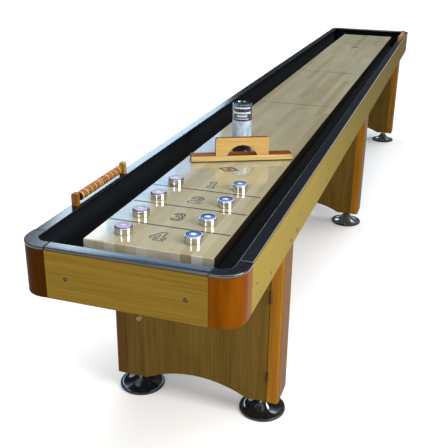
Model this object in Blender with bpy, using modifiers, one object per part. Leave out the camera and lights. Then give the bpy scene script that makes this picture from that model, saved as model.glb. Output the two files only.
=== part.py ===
"""A long shuffleboard table: cabinet on three pedestals, with its scorers, pucks, brush and powder can.

Metres, +Z up. The origin is on the floor, under the middle of the table. +Y runs along the
table from the near end to the far end, and +X points to the table's right side.
"""

import math

import bmesh
import bpy
from mathutils import Vector

# ---------------------------------------------------------------- driving dimensions
LENGTH = 4.877  # over the end aprons, the 16 ft size
HALF_LENGTH = LENGTH / 2
GAP = 0.0003  # clearance between pieces that touch

# cabinet
APRON_HALF_W = 0.3195  # outer face of the side aprons
APRON_T = 0.018
APRON_BOTTOM = 0.6723
APRON_TOP = 0.8167
POST_START = 0.2328  # where an end apron meets a corner post
POST_SIDE = 0.0998  # length of a corner post along the side
POST_RADIUS = 0.066
RAIL_BOTTOM = 0.8170
RAIL_TOP = 0.8260
RAIL_OUTER = 0.3185
RAIL_WIDTH = 0.0370
CAP_OVERHANG = 0.0025
CAP_RADIUS = 0.0720
FLOOR_T = 0.016
BEARERS = 7
BEARER_W = 0.045
BEARER_HALF_L = 0.180

# playfield
FIELD_HALF_W = 0.1971
FIELD_HALF_L = 2.2885
FIELD_TOP = 0.7942
FIELD_T = 0.0380

# pedestals
PEDESTAL_Y = (-1.8425, 0.0575, 1.9575)
PEDESTAL_NAMES = ("near", "middle", "far")
PEDESTAL_HALF_W = 0.3080
PEDESTAL_HALF_D = 0.0640
PEDESTAL_BOTTOM = 0.0755
PEDESTAL_TOP = 0.6718
LEG_W = 0.0420
LEG_ROUND = 0.010
PANEL_T = 0.016
PANEL_HALF_W = 0.2655
ARCH_HALF_W = 0.190
ARCH_RISE = 0.048
SHELF_BOTTOM = 0.128
SHELF_T = 0.018
STEM_BORE_R = 0.0072

# door hardware
HINGE_X = 0.2655
HINGE_R = 0.0032
HINGE_H = 0.047
HINGE_Z = (0.1805, 0.4925)
KNOB_X, KNOB_Z = -0.2070, 0.3300

# leveller feet
FOOT_X = 0.237
FOOT_R = 0.084
STEM_R = 0.0060

# bead scorers
SCORER_X = 0.300
SCORER_START = 0.2915  # from the end apron's outer face to the first block
SCORER_LENGTH = 0.3480
BLOCK_W, BLOCK_T, BLOCK_H = 0.0200, 0.0190, 0.0410
ROD_Z = 0.8480
ROD_R = 0.0040
BEADS = 20
BEAD_R = 0.0145
BEAD_VALLEY_R = 0.0105
BEAD_PITCH = 0.0142
BEAD_BORE_R = 0.0050

# loose play pieces
PUCK_R = 0.0270
PUCK_H = 0.0235
PALE_PUCKS = ((-0.1068, 0.2298), (-0.1156, 0.3708), (-0.1230, 0.5261), (-0.1222, 0.6772))
BLUE_PUCKS = ((0.1058, 0.2375), (0.1005, 0.3758), (0.1050, 0.5362), (0.1034, 0.6947))
BRUSH_CENTRE = (0.0080, 1.0250)
BRUSH_TURN = math.radians(26.0)
BRUSH_LENGTH = 0.3900
BRUSH_DEPTH = 0.0560
BRUSH_T = 0.0230
HANDLE_W = 0.2040
HANDLE_H = 0.0690
HANDLE_T = 0.0180
HANDLE_ARCH_HALF_W = 0.0580
HANDLE_ARCH_H = 0.0400
CAN_PLACE = (-0.0255, 1.1400)
CAN_R = 0.0385
CAN_H = 0.1920

# ---------------------------------------------------------------- scene
for old in list(bpy.data.objects):
    bpy.data.objects.remove(old, do_unlink=True)

table = bpy.data.collections.new("shuffleboard_table")
bpy.context.scene.collection.children.link(table)
cutters = bpy.data.collections.new("cutters")
bpy.context.scene.collection.children.link(cutters)


def material(name, colour, roughness, metallic=0.0):
    made = bpy.data.materials.new(name)
    made.use_nodes = True
    shader = made.node_tree.nodes["Principled BSDF"]
    shader.inputs["Base Color"].default_value = (*colour, 1.0)
    shader.inputs["Roughness"].default_value = roughness
    shader.inputs["Metallic"].default_value = metallic
    made.diffuse_color = (*colour, 1.0)
    return made


MAPLE = material("maple_playfield", (0.62, 0.52, 0.34), 0.08)
OAK = material("oak_laminate", (0.42, 0.29, 0.08), 0.45)
CRADLE = material("plain_board", (0.30, 0.22, 0.13), 0.7)
CORNER = material("stained_corner_wood", (0.40, 0.13, 0.02), 0.35)
BLACK = material("black_rail", (0.02, 0.025, 0.03), 0.35)
PANEL = material("oak_panel", (0.25, 0.16, 0.045), 0.5)
LEG = material("stained_leg_wood", (0.45, 0.19, 0.03), 0.4)
HINGE = material("dark_hinge", (0.05, 0.035, 0.02), 0.4, 1.0)
KNOB = material("knob_wood", (0.55, 0.30, 0.12), 0.4)
FOOT = material("dark_chrome", (0.08, 0.09, 0.10), 0.15, 1.0)
BLOCK = material("scorer_block_wood", (0.50, 0.30, 0.09), 0.4)
BEAD = material("bead_wood", (0.55, 0.32, 0.12), 0.4)
ROD = material("rod_steel", (0.5, 0.5, 0.5), 0.3, 1.0)
PALE = material("pale_puck", (0.70, 0.66, 0.78), 0.2)
BLUE = material("blue_puck", (0.06, 0.10, 0.35), 0.2)
BRUSH = material("brush_wood", (0.70, 0.42, 0.14), 0.35)
CAN = material("can_label", (0.06, 0.07, 0.10), 0.35)


# ---------------------------------------------------------------- helpers
def link(obj, mat, collection=None):
    (collection or table).objects.link(obj)
    if mat:
        obj.data.materials.append(mat)
    return obj


def as_cutter(obj):
    obj.hide_render = True
    obj.display_type = "WIRE"
    return obj


def mesh_object(name, bm, mat, location=(0, 0, 0), collection=None):
    mesh = bpy.data.meshes.new(name)
    bm.to_mesh(mesh)
    bm.free()
    obj = bpy.data.objects.new(name, mesh)
    obj.location = location
    return link(obj, mat, collection)


def box(name, low, high, mat, bevel=0.0, collection=None):
    """A board between two corners, with its origin at its middle."""
    low, high = Vector(low), Vector(high)
    bm = bmesh.new()
    bmesh.ops.create_cube(bm, size=1.0)
    bmesh.ops.scale(bm, vec=high - low, verts=bm.verts)
    obj = mesh_object(name, bm, mat, (low + high) / 2, collection)
    if bevel:
        modifier = obj.modifiers.new("edges", "BEVEL")
        modifier.width = bevel
        modifier.segments = 1
    return obj


def cylinder(name, radius, length, centre, axis, mat, segments=20, collection=None):
    bm = bmesh.new()
    bmesh.ops.create_cone(
        bm, cap_ends=True, segments=segments, radius1=radius, radius2=radius, depth=length
    )
    obj = mesh_object(name, bm, mat, centre, collection)
    if axis == "Y":
        obj.rotation_euler = (math.radians(90), 0, 0)
    elif axis == "X":
        obj.rotation_euler = (0, math.radians(90), 0)
    return obj


def counter_clockwise(points):
    area = sum(
        a[0] * b[1] - b[0] * a[1] for a, b in zip(points, points[1:] + points[:1])
    )
    return points if area > 0 else points[::-1]


def outline(name, points, thickness, mat, collection=None):
    """A flat outline in its own XY plane, thickness deep and centred on that plane."""
    curve = bpy.data.curves.new(name, "CURVE")
    curve.dimensions = "2D"
    curve.fill_mode = "BOTH"
    curve.extrude = thickness / 2
    spline = curve.splines.new("POLY")
    points = counter_clockwise(list(points))
    spline.points.add(len(points) - 1)
    for point, (x, y) in zip(spline.points, points):
        point.co = (x, y, 0, 1)
    spline.use_cyclic_u = True
    return link(bpy.data.objects.new(name, curve), mat, collection)


def to_mesh(obj):
    """The same object as a welded mesh, so that it can be cut or joined."""
    bpy.context.view_layer.update()
    graph = bpy.context.evaluated_depsgraph_get()
    mesh = bpy.data.meshes.new_from_object(obj.evaluated_get(graph))
    bm = bmesh.new()
    bm.from_mesh(mesh)
    bmesh.ops.remove_doubles(bm, verts=bm.verts, dist=1e-6)
    bmesh.ops.recalc_face_normals(bm, faces=bm.faces)
    bm.to_mesh(mesh)
    bm.free()
    name, matrix = obj.name, obj.matrix_world.copy()
    collection = obj.users_collection[0]
    bpy.data.objects.remove(obj, do_unlink=True)
    made = bpy.data.objects.new(name, mesh)
    made.matrix_world = matrix
    collection.objects.link(made)
    return made


def boolean(obj, other, operation):
    modifier = obj.modifiers.new(operation.lower(), "BOOLEAN")
    modifier.operation = operation
    modifier.object = other
    return obj


def turned(name, profile, mat, location, steps=24, collection=None):
    """A turned solid from (radius, height) points, given top to bottom on the outer side."""
    mesh = bpy.data.meshes.new(name)
    mesh.from_pydata(
        [(r, 0, z) for r, z in profile], [(i, i + 1) for i in range(len(profile) - 1)], []
    )
    obj = bpy.data.objects.new(name, mesh)
    obj.location = location
    link(obj, mat, collection)
    screw = obj.modifiers.new("turn", "SCREW")
    screw.steps = steps
    screw.render_steps = steps
    screw.use_merge_vertices = True
    screw.merge_threshold = 1e-5
    screw.use_smooth_shade = True
    return obj


def arc(cx, cy, radius, start, end, steps):
    return [
        (
            cx + radius * math.cos(math.radians(start + (end - start) * i / steps)),
            cy + radius * math.sin(math.radians(start + (end - start) * i / steps)),
        )
        for i in range(steps + 1)
    ]


def corner_outline(outer_x, front, radius, thickness, start_x, side_end, steps=8):
    """The plan of a rounded corner piece at the near right corner, of even thickness.

    front is how far its near face stands behind (+) or before (-) the end apron's face.
    """
    y0 = -HALF_LENGTH + front
    cx, cy = outer_x - radius, y0 + radius
    inner = radius - thickness
    end = -HALF_LENGTH + side_end
    points = [(start_x, y0)]
    points += arc(cx, cy, radius, -90, 0, steps)
    points += [(outer_x, end), (outer_x - thickness, end)]
    points += arc(cx, cy, inner, 0, -90, steps)
    points += [(start_x, y0 + thickness)]
    return points


CORNERS = (
    ("near_left", -1, 1),
    ("near_right", 1, 1),
    ("far_left", -1, -1),
    ("far_right", 1, -1),
)


# ---------------------------------------------------------------- cabinet
side_end = HALF_LENGTH - POST_SIDE - GAP
end_half = POST_START - GAP
apron_in = APRON_HALF_W - APRON_T

for side, sign in (("left", -1), ("right", 1)):
    xs = sorted((sign * apron_in, sign * APRON_HALF_W))
    box(
        f"side_apron_{side}",
        (xs[0], -side_end, APRON_BOTTOM),
        (xs[1], side_end, APRON_TOP),
        OAK,
        0.0012,
    )
    xs = sorted((sign * (RAIL_OUTER - RAIL_WIDTH), sign * RAIL_OUTER))
    box(
        f"side_rail_{side}",
        (xs[0], -side_end, RAIL_BOTTOM),
        (xs[1], side_end, RAIL_TOP),
        BLACK,
        0.0020,
    )

rail_front = HALF_LENGTH - 0.0010
for end, sign in (("near", -1), ("far", 1)):
    ys = sorted((sign * (HALF_LENGTH - APRON_T), sign * HALF_LENGTH))
    box(
        f"end_apron_{end}",
        (-end_half, ys[0], APRON_BOTTOM),
        (end_half, ys[1], APRON_TOP),
        OAK,
        0.0012,
    )
    ys = sorted((sign * (rail_front - RAIL_WIDTH), sign * rail_front))
    box(
        f"end_rail_{end}",
        (-end_half, ys[0], RAIL_BOTTOM),
        (end_half, ys[1], RAIL_TOP),
        BLACK,
        0.0020,
    )

cap_t = APRON_HALF_W + CAP_OVERHANG - (RAIL_OUTER - RAIL_WIDTH)
post_plan = corner_outline(
    APRON_HALF_W, 0.0, POST_RADIUS, APRON_T, POST_START, POST_SIDE
)
cap_plan = corner_outline(
    APRON_HALF_W + CAP_OVERHANG, -CAP_OVERHANG, CAP_RADIUS, cap_t, POST_START, POST_SIDE
)
for where, sx, sy in CORNERS:
    post = outline(
        f"corner_post_{where}",
        [(sx * x, sy * y) for x, y in post_plan],
        APRON_TOP - APRON_BOTTOM,
        CORNER,
    )
    post.location.z = (APRON_TOP + APRON_BOTTOM) / 2
    cap = outline(
        f"corner_cap_{where}",
        [(sx * x, sy * y) for x, y in cap_plan],
        RAIL_TOP - RAIL_BOTTOM,
        BLACK,
    )
    cap.location.z = (RAIL_TOP + RAIL_BOTTOM) / 2

# The floor board fits between the aprons and round the posts' inner curves.
floor_gap = 0.0005
fx, fy = apron_in - floor_gap, HALF_LENGTH - APRON_T - floor_gap
fr = POST_RADIUS - APRON_T - floor_gap
floor_plan = (
    arc(fx - fr, -fy + fr, fr, -90, 0, 6)
    + arc(fx - fr, fy - fr, fr, 0, 90, 6)
    + arc(-fx + fr, fy - fr, fr, 90, 180, 6)
    + arc(-fx + fr, -fy + fr, fr, 180, 270, 6)
)
cradle = outline("playfield_cradle", floor_plan, FLOOR_T, CRADLE)
cradle.location.z = APRON_BOTTOM + FLOOR_T / 2
cradle = to_mesh(cradle)
bm = bmesh.new()
bearer_low = APRON_BOTTOM + FLOOR_T - 0.002
bearer_high = FIELD_TOP - FIELD_T - 0.0005
for i in range(BEARERS):
    y = -FIELD_HALF_L + 0.10 + i * (2 * FIELD_HALF_L - 0.20) / (BEARERS - 1)
    made = bmesh.ops.create_cube(bm, size=1.0)["verts"]
    bmesh.ops.scale(
        bm, vec=(2 * BEARER_HALF_L, BEARER_W, bearer_high - bearer_low), verts=made
    )
    bmesh.ops.translate(bm, vec=(0, y, (bearer_low + bearer_high) / 2), verts=made)
bearers = as_cutter(mesh_object("bearers", bm, None, collection=cutters))
boolean(cradle, bearers, "UNION")

box(
    "playfield",
    (-FIELD_HALF_W, -FIELD_HALF_L, FIELD_TOP - FIELD_T),
    (FIELD_HALF_W, FIELD_HALF_L, FIELD_TOP),
    MAPLE,
    0.0012,
)


# ---------------------------------------------------------------- pedestals
def arched_panel(name, half_left, half_right, thickness, y, mat):
    """An upright panel in the XZ plane whose lower edge rises in an arch."""
    radius = (ARCH_HALF_W**2 + ARCH_RISE**2) / (2 * ARCH_RISE)
    centre = PEDESTAL_BOTTOM + ARCH_RISE - radius
    sweep = math.degrees(math.asin(ARCH_HALF_W / radius))
    points = [(-half_left, PEDESTAL_BOTTOM)]
    points += arc(0, centre, radius, 90 + sweep, 90 - sweep, 14)
    points += [
        (half_right, PEDESTAL_BOTTOM),
        (half_right, PEDESTAL_TOP),
        (-half_left, PEDESTAL_TOP),
    ]
    obj = outline(name, points, thickness, mat)
    obj.rotation_euler = (math.radians(90), 0, 0)
    obj.location.y = y
    return obj


def leg_outline(sign):
    """Plan of a pedestal's side post, with its two outer corners rounded."""
    inner = PEDESTAL_HALF_W - LEG_W
    d, r = PEDESTAL_HALF_D, LEG_ROUND
    points = [(inner, -d)]
    points += arc(PEDESTAL_HALF_W - r, -d + r, r, -90, 0, 4)
    points += arc(PEDESTAL_HALF_W - r, d - r, r, 0, 90, 4)
    points += [(inner, d)]
    return [(sign * x, y) for x, y in points]


# A pressed dish on a threaded stem: coned above, hollow below, standing on its rim.
foot_profile = [
    (0.0, 0.1510),
    (STEM_R, 0.1510),
    (STEM_R, 0.0540),
    (0.0190, 0.0530),
    (0.0240, 0.0440),
    (0.0300, 0.0330),
    (0.0540, 0.0170),
    (0.0800, 0.0090),
    (FOOT_R, 0.0060),
    (FOOT_R, 0.0),
    (0.0700, 0.0),
    (0.0420, 0.0160),
    (0.0, 0.0180),
]

for name, y in zip(PEDESTAL_NAMES, PEDESTAL_Y):
    for side, sign in (("left", -1), ("right", 1)):
        leg = outline(
            f"{name}_pedestal_post_{side}",
            leg_outline(sign),
            PEDESTAL_TOP - PEDESTAL_BOTTOM,
            LEG,
        )
        leg.location = (0, y, (PEDESTAL_TOP + PEDESTAL_BOTTOM) / 2)
    arched_panel(
        f"{name}_pedestal_back_panel",
        PANEL_HALF_W,
        PANEL_HALF_W,
        PANEL_T,
        y + PEDESTAL_HALF_D - 0.002 - PANEL_T / 2,
        PANEL,
    )
    front_y = y - PEDESTAL_HALF_D
    if name != "near":
        arched_panel(
            f"{name}_pedestal_front_panel",
            PANEL_HALF_W,
            PANEL_HALF_W,
            PANEL_T,
            front_y + PANEL_T / 2,
            PANEL,
        )
    shelf = box(
        f"{name}_pedestal_floor",
        (-PANEL_HALF_W, front_y + PANEL_T + 0.0007, SHELF_BOTTOM),
        (
            PANEL_HALF_W,
            y + PEDESTAL_HALF_D - 0.002 - PANEL_T - 0.0005,
            SHELF_BOTTOM + SHELF_T,
        ),
        CRADLE,
    )
    for side, sign in (("left", -1), ("right", 1)):
        bore = as_cutter(
            cylinder(
                f"stem_bore_{name}_{side}",
                STEM_BORE_R,
                0.06,
                (sign * FOOT_X, y, SHELF_BOTTOM + SHELF_T / 2),
                "Z",
                None,
                16,
                cutters,
            )
        )
        boolean(shelf, bore, "DIFFERENCE")
        turned(
            f"foot_{name}_{side}", foot_profile, FOOT, (sign * FOOT_X, y, 0.0), 24
        )

# The near pedestal's front is a door that turns on the two hinges at its right edge.
near_front = PEDESTAL_Y[0] - PEDESTAL_HALF_D
hinge_y = near_front - HINGE_R - 0.0004
door_pivot = bpy.data.objects.new("door_pivot", None)
door_pivot.location = (HINGE_X, hinge_y, 0.0)
table.objects.link(door_pivot)
bpy.context.view_layer.update()
door = arched_panel(
    "storage_door", 0.2652, 0.2643, PANEL_T, near_front + PANEL_T / 2, PANEL
)
knob = turned(
    "door_knob",
    [
        (0.0, 0.0190),
        (0.0060, 0.0185),
        (0.0100, 0.0160),
        (0.0112, 0.0125),
        (0.0098, 0.0090),
        (0.0062, 0.0060),
        (0.0058, 0.0030),
        (0.0085, 0.0005),
        (0.0085, 0.0),
        (0.0, 0.0),
    ],
    KNOB,
    (KNOB_X, near_front - GAP, KNOB_Z),
    16,
)
knob.rotation_euler = (math.radians(90), 0, 0)
for moving in (door, knob):
    moving.parent = door_pivot
    moving.matrix_parent_inverse = door_pivot.matrix_world.inverted()

for where, z in zip(("lower", "upper"), HINGE_Z):
    barrel = cylinder(
        f"door_hinge_{where}", HINGE_R, HINGE_H, (HINGE_X, hinge_y, z), "Z", HINGE, 16
    )
    leaf = as_cutter(
        box(
            f"hinge_leaf_{where}",
            (HINGE_X - 0.0006, hinge_y, z - HINGE_H / 2 + 0.001),
            (HINGE_X + 0.0002, near_front + 0.013, z + HINGE_H / 2 - 0.001),
            None,
            0.0,
            cutters,
        )
    )
    boolean(barrel, leaf, "UNION")

# ---------------------------------------------------------------- bead scorers
rod_in_block = 0.009
for where, sx, sy in (("near", -1, -1), ("far", 1, 1)):
    first = sy * (HALF_LENGTH - SCORER_START)
    last = sy * (HALF_LENGTH - SCORER_START - SCORER_LENGTH)
    middle = (first + last) / 2
    x = sx * SCORER_X
    half = BLOCK_W / 2
    z0, z1 = RAIL_TOP + GAP, RAIL_TOP + BLOCK_H
    r = 0.006
    block_plan = (
        [(-half, z0), (half, z0)]
        + arc(half - r, z1 - r, r, 0, 90, 4)
        + arc(-half + r, z1 - r, r, 90, 180, 4)
    )
    for which, y in (("outer", first), ("inner", last)):
        into = -sy if which == "outer" else sy
        centre = y + into * BLOCK_T / 2
        block = outline(f"{where}_scorer_block_{which}", block_plan, BLOCK_T, BLOCK)
        block.rotation_euler = (math.radians(90), 0, 0)
        block.location = (x, centre, 0)
        block = to_mesh(block)
        face = y + into * BLOCK_T
        hole = as_cutter(
            cylinder(
                f"{where}_rod_hole_{which}",
                ROD_R + 0.0003,
                0.020,
                (x, face, ROD_Z),
                "Y",
                None,
                12,
                cutters,
            )
        )
        boolean(block, hole, "DIFFERENCE")
    rod_length = SCORER_LENGTH - 2 * BLOCK_T + 2 * rod_in_block
    cylinder(f"{where}_scorer_rod", ROD_R, rod_length, (x, middle, ROD_Z), "Y", ROD, 12)
    half_pack = BEADS * BEAD_PITCH / 2
    profile = [(BEAD_BORE_R, half_pack), (BEAD_VALLEY_R, half_pack)]
    for i in range(BEADS):
        top = half_pack - i * BEAD_PITCH
        profile += [(BEAD_R, top - BEAD_PITCH / 2), (BEAD_VALLEY_R, top - BEAD_PITCH)]
    profile += [(BEAD_BORE_R, -half_pack), (BEAD_BORE_R, half_pack)]
    beads = turned(f"{where}_scorer_beads", profile, BEAD, (x, middle, ROD_Z), 12)
    beads.rotation_euler = (math.radians(90), 0, 0)

# ---------------------------------------------------------------- pucks
puck_profile = [
    (0.0, PUCK_H),
    (0.0245, PUCK_H),
    (0.0256, PUCK_H - 0.0012),
    (0.0256, PUCK_H - 0.0055),
    (PUCK_R, PUCK_H - 0.0062),
    (PUCK_R, 0.0012),
    (PUCK_R - 0.0012, 0.0),
    (0.0, 0.0),
]
for tone, places, mat in (("pale", PALE_PUCKS, PALE), ("blue", BLUE_PUCKS, BLUE)):
    for i, (x, along) in enumerate(places):
        turned(
            f"puck_{tone}_{i + 1}",
            puck_profile,
            mat,
            (x, along - HALF_LENGTH, FIELD_TOP + GAP),
            20,
        )

# ---------------------------------------------------------------- sweep brush
bx, by = BRUSH_CENTRE[0], BRUSH_CENTRE[1] - HALF_LENGTH
brush = box(
    "sweep_brush",
    (-BRUSH_LENGTH / 2, -BRUSH_DEPTH / 2, 0.0),
    (BRUSH_LENGTH / 2, BRUSH_DEPTH / 2, BRUSH_T),
    BRUSH,
)
brush_place = bpy.data.objects.new("brush_place", None)
table.objects.link(brush_place)
brush_place.location = (bx, by, FIELD_TOP + GAP)
brush_place.rotation_euler = (0, 0, BRUSH_TURN)
half = HANDLE_W / 2
r = 0.008
arch_r = (HANDLE_ARCH_HALF_W**2 + HANDLE_ARCH_H**2) / (2 * HANDLE_ARCH_H)
arch_c = BRUSH_T + HANDLE_ARCH_H - arch_r
arch_sweep = math.degrees(math.asin(HANDLE_ARCH_HALF_W / arch_r))
plate_top = BRUSH_T + HANDLE_H
plate_plan = (
    [(-half, BRUSH_T - 0.004)]
    + [(-HANDLE_ARCH_HALF_W, BRUSH_T - 0.004)]
    + arc(0, arch_c, arch_r, 90 + arch_sweep, 90 - arch_sweep, 14)
    + [(HANDLE_ARCH_HALF_W, BRUSH_T - 0.004), (half, BRUSH_T - 0.004)]
    + arc(half - r, plate_top - r, r, 0, 90, 4)
    + arc(-half + r, plate_top - r, r, 90, 180, 4)
)
plate = outline("handle_plate", plate_plan, HANDLE_T, None, cutters)
plate.rotation_euler = (math.radians(90), 0, 0)
plate.location.y = -BRUSH_DEPTH / 2 + 0.004 + HANDLE_T / 2
plate = as_cutter(to_mesh(plate))
boolean(brush, plate, "UNION")
for piece in (brush, plate):
    piece.parent = brush_place

# ---------------------------------------------------------------- powder can
turned(
    "powder_can",
    [
        (0.0, CAN_H - 0.0030),
        (0.0350, CAN_H - 0.0030),
        (0.0360, CAN_H),
        (0.0378, CAN_H),
        (CAN_R, CAN_H - 0.0015),
        (CAN_R, CAN_H - 0.0060),
        (0.0376, CAN_H - 0.0070),
        (0.0376, 0.0060),
        (CAN_R, 0.0050),
        (CAN_R, 0.0),
        (0.0, 0.0),
    ],
    CAN,
    (CAN_PLACE[0], CAN_PLACE[1] - HALF_LENGTH, FIELD_TOP + GAP),
    24,
)
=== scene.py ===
"""The looks of a long shuffleboard table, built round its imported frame.

Metres, +Z up. +Y runs along the table from the near end, and +X points to its right side.
"""

import math
import random

import bmesh
import bpy
import numpy as np
from mathutils import Matrix, Vector


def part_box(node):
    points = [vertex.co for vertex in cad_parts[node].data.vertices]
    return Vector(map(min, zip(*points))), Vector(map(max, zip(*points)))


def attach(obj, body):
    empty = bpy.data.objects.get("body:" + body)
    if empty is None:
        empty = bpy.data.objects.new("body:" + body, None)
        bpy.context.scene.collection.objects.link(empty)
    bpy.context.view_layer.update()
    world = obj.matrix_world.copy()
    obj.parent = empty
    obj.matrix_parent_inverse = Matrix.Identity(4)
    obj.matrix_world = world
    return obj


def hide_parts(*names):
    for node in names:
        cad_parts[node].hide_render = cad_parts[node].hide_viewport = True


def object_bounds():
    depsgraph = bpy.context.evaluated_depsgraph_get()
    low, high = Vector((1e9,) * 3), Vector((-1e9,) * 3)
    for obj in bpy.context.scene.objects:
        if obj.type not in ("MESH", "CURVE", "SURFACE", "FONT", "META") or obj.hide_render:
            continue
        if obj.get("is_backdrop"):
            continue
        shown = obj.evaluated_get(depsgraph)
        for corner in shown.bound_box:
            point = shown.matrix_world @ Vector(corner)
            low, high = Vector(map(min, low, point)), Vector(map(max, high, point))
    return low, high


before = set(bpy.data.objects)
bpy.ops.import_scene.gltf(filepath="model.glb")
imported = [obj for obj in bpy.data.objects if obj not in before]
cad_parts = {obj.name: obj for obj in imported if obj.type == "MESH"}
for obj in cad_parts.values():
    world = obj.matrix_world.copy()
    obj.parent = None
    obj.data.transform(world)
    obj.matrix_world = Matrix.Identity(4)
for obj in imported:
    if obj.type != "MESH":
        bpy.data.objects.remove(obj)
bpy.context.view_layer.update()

scene = bpy.context.scene

# ---------------------------------------------------------------- sizes read from the frame
field_low, field_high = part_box("playfield")
FIELD_TOP, FIELD_BOTTOM = field_high.z, field_low.z
FIELD_X, FIELD_Y = field_high.x, field_high.y
apron_low, apron_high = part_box("side_apron_right")
APRON_IN, APRON_OUT = apron_low.x, apron_high.x
APRON_Z0, APRON_Z1 = apron_low.z, apron_high.z
SIDE_END = apron_high.y
end_low, end_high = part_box("end_apron_far")
END_IN, END_OUT, END_HALF = end_low.y, end_high.y, end_high.x
rail_low, rail_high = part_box("side_rail_right")
RAIL_IN, RAIL_OUT = rail_low.x, rail_high.x
RAIL_Z0, RAIL_Z1 = rail_low.z, rail_high.z
POST_R, POST_T = 0.0660, 0.0180
CAP_R, CAP_OVER = 0.0720, 0.0025
PLAY_Z = FIELD_TOP + 0.0003


# ---------------------------------------------------------------- mesh helpers
def keep_flats_flat(mesh, smooth):
    """Corner normals weighted by area, so that a broad face stays flat up to its rounded edge."""
    corners = np.empty(len(mesh.loops), np.int32)
    mesh.loops.foreach_get("vertex_index", corners)
    sizes = np.empty(len(mesh.polygons), np.int32)
    mesh.polygons.foreach_get("loop_total", sizes)
    areas = np.empty(len(mesh.polygons), np.float32)
    mesh.polygons.foreach_get("area", areas)
    normals = np.empty(len(mesh.polygons) * 3, np.float32)
    mesh.polygons.foreach_get("normal", normals)
    normals = normals.reshape(-1, 3)
    faces = np.repeat(np.arange(len(sizes)), sizes)
    order = np.argsort(corners, kind="stable")
    starts = np.flatnonzero(np.diff(corners[order], prepend=-1))
    limit = math.cos(math.radians(smooth))
    result = np.empty((len(corners), 3), np.float32)
    for group in np.split(order, starts[1:]):
        around = normals[faces[group]]
        weight = (around @ around.T > limit) * areas[faces[group]]
        total = weight @ around
        result[group] = total / np.maximum(np.linalg.norm(total, axis=1, keepdims=True), 1e-12)
    mesh.normals_split_custom_set(result.tolist())


def make(name, bm, materials, body, replaces=(), smooth=32.0, grain=None):
    """A finished mesh in the row frame, riding on a body.

    grain(points) gives each point's place in the wood, with its first axis along the grain.
    """
    bmesh.ops.recalc_face_normals(bm, faces=bm.faces)
    mesh = bpy.data.meshes.new(name)
    bm.to_mesh(mesh)
    bm.free()
    for material in materials:
        mesh.materials.append(material)
    mesh.shade_smooth()
    mesh.set_sharp_from_angle(angle=math.radians(smooth))
    if len(mesh.vertices) < 5000:
        keep_flats_flat(mesh, smooth)
    if grain is not None:
        points = np.empty(len(mesh.vertices) * 3, np.float32)
        mesh.vertices.foreach_get("co", points)
        values = np.asarray(grain(points.reshape(-1, 3)), np.float32)
        attribute = mesh.attributes.new("grain", "FLOAT_VECTOR", "POINT")
        attribute.data.foreach_set("vector", values.reshape(-1))
    obj = bpy.data.objects.new(name, mesh)
    scene.collection.objects.link(obj)
    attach(obj, body)
    if replaces:
        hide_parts(*([replaces] if isinstance(replaces, str) else replaces))
    return obj


def along(axis, seed=0.0):
    """Grain along a row axis, each piece cut from a different place in the log."""
    order = {"X": (0, 1, 2), "Y": (1, 0, 2), "Z": (2, 0, 1)}[axis]
    shift = np.array([seed * 3.7, seed * 1.3, seed * 0.71], np.float32)
    return lambda points: points[:, order] + shift


def rounded_box(low, high, radius, segments=3, bm=None, matrix=None):
    """A board with rounded edges, added to bm."""
    bm = bm or bmesh.new()
    low, high = Vector(low), Vector(high)
    made = bmesh.ops.create_cube(bm, size=1.0)["verts"]
    bmesh.ops.scale(bm, vec=high - low, verts=made)
    bmesh.ops.translate(bm, vec=(low + high) / 2, verts=made)
    edges = {e for v in made for e in v.link_edges}
    result = bmesh.ops.bevel(
        bm,
        geom=list(edges),
        offset=radius,
        segments=segments,
        profile=0.5,
        affect="EDGES",
        clamp_overlap=True,
    )
    if matrix is not None:
        verts = {v for f in result["faces"] for v in f.verts}
        verts |= {v for v in made if v.is_valid}
        bmesh.ops.transform(bm, matrix=matrix, verts=list(verts))
    return bm


def prism(outline, z0, z1, radius=0.0, segments=2, matrix=None, bm=None, sharp=25.0):
    """An outline extruded from z0 to z1, its sharp edges rounded, added to bm."""
    bm = bm or bmesh.new()
    area = sum(a[0] * b[1] - b[0] * a[1] for a, b in zip(outline, outline[1:] + outline[:1]))
    if area < 0:
        outline = outline[::-1]
    count = len(outline)
    low = [bm.verts.new((x, y, z0)) for x, y in outline]
    high = [bm.verts.new((x, y, z1)) for x, y in outline]
    faces = [bm.faces.new(low[::-1]), bm.faces.new(high)]
    for i in range(count):
        j = (i + 1) % count
        faces.append(bm.faces.new((low[i], low[j], high[j], high[i])))
    verts = set(low + high)
    bm.normal_update()
    if radius:
        edges = {
            e
            for f in faces
            for e in f.edges
            if len(e.link_faces) == 2 and e.calc_face_angle(0) > math.radians(sharp)
        }
        result = bmesh.ops.bevel(
            bm,
            geom=list(edges),
            offset=radius,
            segments=segments,
            profile=0.5,
            affect="EDGES",
            clamp_overlap=True,
        )
        verts = {v for v in verts if v.is_valid}
        verts |= {v for f in result["faces"] for v in f.verts}
    if matrix is not None:
        bmesh.ops.transform(bm, matrix=matrix, verts=list(verts))
    return bm


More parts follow.
